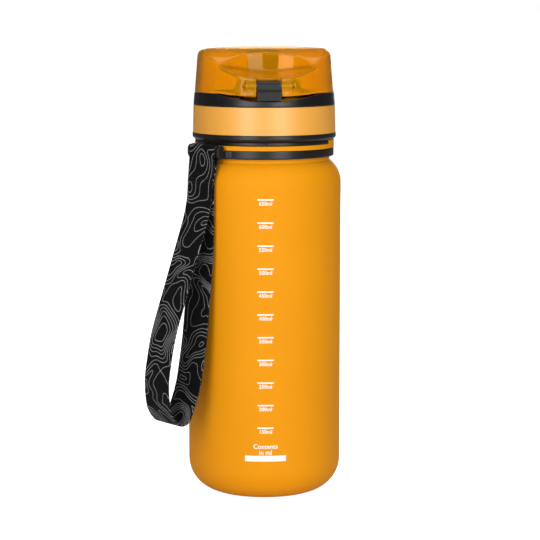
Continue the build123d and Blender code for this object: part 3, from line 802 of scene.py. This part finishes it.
def make_spout():
    """The mouthpiece, the seal under its foot and the gasket on the bottle's lip."""
    low, high = foot_of("spout"), top_of("spout")
    foot = foot_of("spout_seal") + spout_over_seal
    soft = 0.4 * mm
    place = (0, spout_y, 0)
    spout = turn("mouthpiece", [
        (spout_bore_r, low, soft / 2), (spout_stem_r, low, soft / 2),
        (spout_stem_r, foot), (spout_foot_r, foot),
        (spout_foot_r, foot + spout_foot_h, soft), (spout_waist_r + spout_flare, foot + spout_flare_h, soft),
        (spout_waist_r, foot + spout_waist_h, 2 * mm), (spout_waist_r, high - spout_cone_h, soft),
        (spout_lip_r, high - spout_lip_h, soft), (spout_lip_r, high, soft), (spout_bore_r, high, soft),
    ], clear_amber, place=place, steps=96)
    fit(spout, "cap", "amber_clear", "spout")
    low, high = foot_of("spout_seal"), top_of("spout_seal")
    washer = turn("mouthpiece_seal", [
        (spout_bore_r + washer_in, low), (spout_foot_r - washer_edge_in, low, chamfer),
        (spout_foot_r - washer_edge_in, high, chamfer), (spout_bore_r + washer_in, high),
    ], soft_grey, place=place, steps=96)
    fit(washer, "cap", "silicone", "spout_seal")
    low, high = foot_of("cap_gasket"), top_of("cap_gasket")
    lip = 0.3 * mm
    gasket = turn("lip_gasket", [
        (mouth_r, low, lip), (cap_bore_r - gasket_in, low, lip), (cap_bore_r - gasket_in, high, lip),
        (mouth_r, high, lip),
    ], soft_grey)
    fit(gasket, "gasket", "silicone", "cap_gasket")


def make_plug():
    """The soft plug under the lid, over and in the spout, and the cup that holds it."""
    low, high = foot_of("seal_plug"), top_of("seal_plug")
    mouth = spout_bore_r - plug_gap
    lip = spout_lip_r - plug_lip_in
    seat = low + plug_depth
    plug = turn("soft_plug", [
        (0, low), (mouth - plug_nose_in, low, 0.5 * mm), (mouth - plug_taper, low + plug_nose_h, 0.5 * mm),
        (mouth, seat), (lip, seat, 0.3 * mm), (lip, high, 0.4 * mm), (0, high),
    ], soft_grey, closed=False, place=(0, spout_y, 0), steps=96)
    fit(plug, "lid", "silicone", "seal_plug")
    fit(mould("plug_cup", "plug_carrier", 0.3 * mm, 3, dark), "lid", "dark_plastic", "plug_carrier")


def make_hinge_seat():
    """The hinge block, with the groove under its barrel opened a little so that it shows."""
    low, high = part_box("hinge_block")
    face = low.y
    groove_z = middle_of("hinge_pin").z - barrel_r
    groove = ((low.x - mm, face - mm, groove_z - groove_low),
              (high.x + mm, face + groove_depth, groove_z + groove_high))
    seat = mould("hinge_seat", "hinge_block", 0.15 * mm, 2, black, carve=(groove,))
    fit(seat, "cap", "black_plastic", "hinge_block")


def rod(name, radius, half, middle, axis_turn):
    """A straight steel rod with chamfered ends, reaching half its length each way from the middle."""
    return turn(name, [
        (0, -half), (radius, -half, chamfer), (radius, half, chamfer), (0, half),
    ], drawn_steel, closed=False, place=tuple(middle), axis_turn=axis_turn, steps=32)


def make_pin(name, part, radius, body):
    """A pin along X, as long as the CAD part."""
    low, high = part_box(part)
    pin = rod(name, radius, (high.x - low.x) / 2, middle_of(part), (0, pi / 2, 0))
    return fit(pin, body, "steel", part)


def make_strap_bar():
    """The bar that the strap hangs from."""
    half = (webbing_w + 2 * side_gap) / 2 + cheek_w - bar_inset
    bar = rod("strap_pin", bar_r, half, middle_of("strap_bar"), (0, pi / 2, strap_angle))
    return fit(bar, "neck_ring", "steel", "strap_bar")


def make_springs():
    """The lid's spring round its pin, and the one that pushes the latch lever out."""
    middle = middle_of("hinge_spring")
    spring = coil_spring("lid_spring", lid_coil_r, lid_wire_r, lid_coil_l, lid_coil_turns, (0, pi / 2, 0),
                         (middle.x - lid_coil_l / 2, middle.y, middle.z), drawn_steel)
    fit(spring, "cap", "steel", "hinge_spring")
    middle = middle_of("latch_spring")
    spring = coil_spring("lever_spring", lever_coil_r, lever_wire_r, lever_coil_l, lever_coil_turns,
                         (-pi / 2, 0, 0), (middle.x, middle.y - lever_coil_l / 2, middle.z), drawn_steel)
    fit(spring, "cap", "steel", "latch_spring")
    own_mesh(spring)


# ---------------------------------------------------------------- strap

def bend_route(corners, bends):
    """Points along straight runs with a round of its own size at each inner corner."""
    joined = [corners[0]]
    joined += [(*corner, bend) for corner, bend in zip(corners[1:-1], bends)]
    joined.append(corners[-1])
    return np.array(rounded(joined))


def even_points(points, spacing):
    """The same line as points an even step apart, as (points, distance along)."""
    steps = np.linalg.norm(np.diff(points, axis=0), axis=1)
    along = np.concatenate([[0], np.cumsum(steps)])
    count = int(along[-1] / spacing)
    marks = np.linspace(0, along[-1], count + 1)
    return np.stack([np.interp(marks, along, points[:, k]) for k in (0, 1)], axis=1), marks


def strap_route():
    """The webbing's middle line as (out from the axis, up): from the seam over the bar, down the outer
    strand, round the bottom of the loop and up the strand by the bottle to the seam again."""
    half = webbing_t / 2
    outer, inner = seam_out + half, seam_out - half
    wrap = bar_r + bar_gap + half
    over = [(bar_out + wrap * cos(a), bar_z + wrap * sin(a)) for a in np.linspace(pi, 0, 19)]
    # millimetres out from the seam and down from it: down the outer strand, then up the inner one
    drops = [(1.0, 12.5), (12.9, 45.5), (24.5, 77), (29.0, 101), (26.8, 115.5), (17.7, 125.5), (8.9, 105),
             (4.6, 81), (-0.1, 35)]
    loop = [(outer, seam_z)]
    loop += [(seam_out + out * mm, seam_z - drop * mm) for out, drop in drops]
    loop.append((inner, seam_z))
    bends = [bend * mm for bend in (60, 200, 90, 45, 14, 5, 60, 200, 150)]
    return np.array([(inner, seam_z), *over, *bend_route(loop, bends)])


def in_strap_plane(out, across, up):
    """The place of something that is out from the axis at the strap's angle, and across from there."""
    return (out * sin(strap_angle) + across * cos(strap_angle),
            -out * cos(strap_angle) + across * sin(strap_angle), up)


def strip(name, line, along, width, thick, finish, crown=0.06 * mm):
    """A flat woven strip along a line in the strap's plane, closed, with rounded edges."""
    edge = thick * 0.42
    pattern_shift = 3.3    # in widths, so that the pattern isn't the same on both faces
    way = np.gradient(line, axis=0)
    way /= np.linalg.norm(way, axis=1)[:, None]
    side = np.stack([-way[:, 1], way[:, 0]], axis=1)
    flats = np.linspace(-0.46, 0.46, 11)
    corners = [(-width / 2, -thick / 2), (width / 2, -thick / 2), (width / 2, thick / 2),
               (-width / 2, thick / 2)]
    section = [(x, y) for x, y in rounded([(*corner, edge) for corner in corners])]
    low_side = [p for p in section if p[1] < 0]
    high_side = [p for p in section if p[1] >= 0]
    low_side = sorted(low_side + [(f * width, -thick / 2) for f in flats])
    high_side = sorted(high_side + [(f * width, thick / 2) for f in flats], reverse=True)
    ring = np.array(low_side + high_side)
    bulge = 1 + crown / (thick / 2) * (1 - (2 * ring[:, 0] / width) ** 2)
    rows, around = len(line), len(ring)
    out = line[:, None, 0] + side[:, None, 0] * (ring[:, 1] * bulge)[None, :]
    up = line[:, None, 1] + side[:, None, 1] * (ring[:, 1] * bulge)[None, :]
    across = np.broadcast_to(ring[:, 0], out.shape)
    vertices = np.stack(in_strap_plane(out, across, up), axis=2).reshape(-1, 3)
    faces, corners_uv = [], []
    for row in range(rows - 1):
        for k in range(around):
            next_k = (k + 1) % around
            faces.append((row * around + k, row * around + next_k,
                          (row + 1) * around + next_k, (row + 1) * around + k))
            for r, c in ((row, k), (row, next_k), (row + 1, next_k), (row + 1, k)):
                shift = (ring[c][1] < 0) * pattern_shift
                corners_uv.append((ring[c][0] / width + shift, along[r] / width))
    for row in (0, rows - 1):
        faces.append(tuple(row * around + k for k in range(around)))
        corners_uv += [(ring[k][0] / width, along[row] / width) for k in range(around)]
    mesh = bpy.data.meshes.new(name)
    mesh.from_pydata(vertices.tolist(), [], faces)
    mesh.uv_layers.new(name="webbing").data.foreach_set("uv", np.array(corners_uv).ravel())
    mesh.materials.append(finish)
    face_outwards(mesh)
    mesh.shade_smooth()
    mesh.set_sharp_from_angle(angle=radians(60))
    return show(name, mesh)


def stitch_row(name, up, face_out):
    """A row of stitches across the webbing."""
    half = webbing_w / 2 - row_margin
    ends = [in_strap_plane(face_out, across, up) for across in (-half, half)]
    mesh = bpy.data.meshes.new(name)
    mesh.from_pydata(ends, [(0, 1)], [])
    return grow(name, stitches, {
        "Pitch": stitch_pitch, "Length": stitch_l, "Thread": thread_t, "Finish": black_thread}, mesh)


def make_strap():
    """The sewn loop of webbing."""
    line, along = even_points(strap_route(), 0.8 * mm)
    strap = strip("wrist_webbing", line, along, webbing_w, webbing_t, woven_black)
    rows = [stitch_row("stitches", seam_z + rise, seam_out + side * (webbing_t + stitch_lift))
            for rise in (-row_rise, row_rise) for side in (-1, 1)]
    sewing = join("seam_stitches", rows)
    fit(sewing, "strap", "webbing")
    fit(strap, "strap", "webbing", "wrist_strap")


# ---------------------------------------------------------------- stage

def make_stage():
    """A plain pale floor, broad soft lights and the camera."""
    floor = bpy.data.meshes.new("floor")
    reach = 60.0
    floor_glow, backdrop, fill = 0.95, 1.0, 0.11    # the first two are for the camera's eye only
    floor.from_pydata([(-reach, -reach, 0), (reach, -reach, 0), (reach, reach, 0), (-reach, reach, 0)],
                      [], [(0, 1, 2, 3)])
    pale, tree, shader, place = new_finish("pale_floor")
    tint(tree, shader, between(tree, noise(tree, place, 3), 0, 1), (0.74, 0.74, 0.74), (0.76, 0.76, 0.76))
    shader.inputs["Roughness"].default_value = 0.6
    shader.inputs["Emission Color"].default_value = (1, 1, 1, 1)
    seen = node(tree, "ShaderNodeLightPath").outputs["Is Camera Ray"]
    lit = node(tree, "ShaderNodeMapRange", {"Value": seen, "To Min": 0.0, "To Max": floor_glow})
    tree.links.new(lit.outputs[0], shader.inputs["Emission Strength"])
    floor.materials.append(pale)
    show("floor", floor)

    world = bpy.data.worlds.new("studio")
    world.use_nodes = True
    tree = world.node_tree
    seen = node(tree, "ShaderNodeLightPath").outputs["Is Camera Ray"]
    glow = node(tree, "ShaderNodeMapRange", {"Value": seen, "To Min": fill, "To Max": backdrop}).outputs[0]
    ground = tree.nodes["Background"]
    ground.inputs["Color"].default_value = (1, 1, 1, 1)
    tree.links.new(glow, ground.inputs["Strength"])
    bpy.context.scene.world = world

    def soft_light(name, angle, out, up, size, power, aim=0.11):
        light = bpy.data.lights.new(name, "AREA")
        light.shape = "RECTANGLE"
        light.size, light.size_y = size
        light.energy = power
        lamp = bpy.data.objects.new(name, light)
        bpy.context.scene.collection.objects.link(lamp)
        lamp.location = (out * sin(radians(angle)), -out * cos(radians(angle)), up)
        toward = -(lamp.location.copy())
        toward.z += aim
        lamp.rotation_euler = toward.to_track_quat("-Z", "Y").to_euler()

    soft_light("left softbox", -30, 1.5, 0.50, (0.7, 1.3), 13)
    soft_light("right softbox", 23, 1.5, 0.50, (0.7, 1.3), 13)
    soft_light("overhead", 0, 0.10, 1.7, (1.6, 1.6), 11)
    soft_light("back softbox", 172, 1.5, 0.60, (1.0, 1.0), 5)

    camera = bpy.data.cameras.new("camera")
    camera.lens = 132.5
    camera.sensor_width = 36
    camera.clip_start = 0.01
    camera.shift_x = 0.0107407407
    camera.shift_y = 0.03
    view = bpy.data.objects.new("camera", camera)
    bpy.context.scene.collection.objects.link(view)
    angle, pitch, away, aim = radians(-4), radians(8), 1.03, 0.10585
    out = away * cos(pitch)
    view.location = (out * sin(angle), -out * cos(angle), aim + away * sin(pitch))
    view.rotation_euler = (pi / 2 - pitch, 0, angle)
    bpy.context.scene.camera = view
    bpy.context.scene.view_settings.view_transform = "Standard"


make_bottle()
make_scale()
make_cap_shell()
make_band()
make_spout()
make_plug()
fit(mould("cap_top", "cap_deck", 0.4 * mm, 3, black), "cap", "black_plastic", "cap_deck")
fit(mould("clear_lid", "flip_lid", 0.5 * mm, 5, clear_amber), "lid", "amber_clear", "flip_lid")
make_hinge_seat()
fit(mould("latch", "latch_lever", 0.25 * mm, 3, black), "latch", "black_plastic", "latch_lever")
fit(mould("neck_clip", "collar_clip", 0.25 * mm, 3, black), "bottle", "black_plastic", "collar_clip")
fit(mould("swivel_ring", "strap_ring", 0.3 * mm, 3, black), "neck_ring", "black_plastic", "strap_ring")
make_pin("lid_pin", "hinge_pin", lid_pin_r, "cap")
make_pin("lever_pin", "latch_pin", lever_pin_r, "cap")
make_strap_bar()
make_springs()
make_strap()
make_stage()
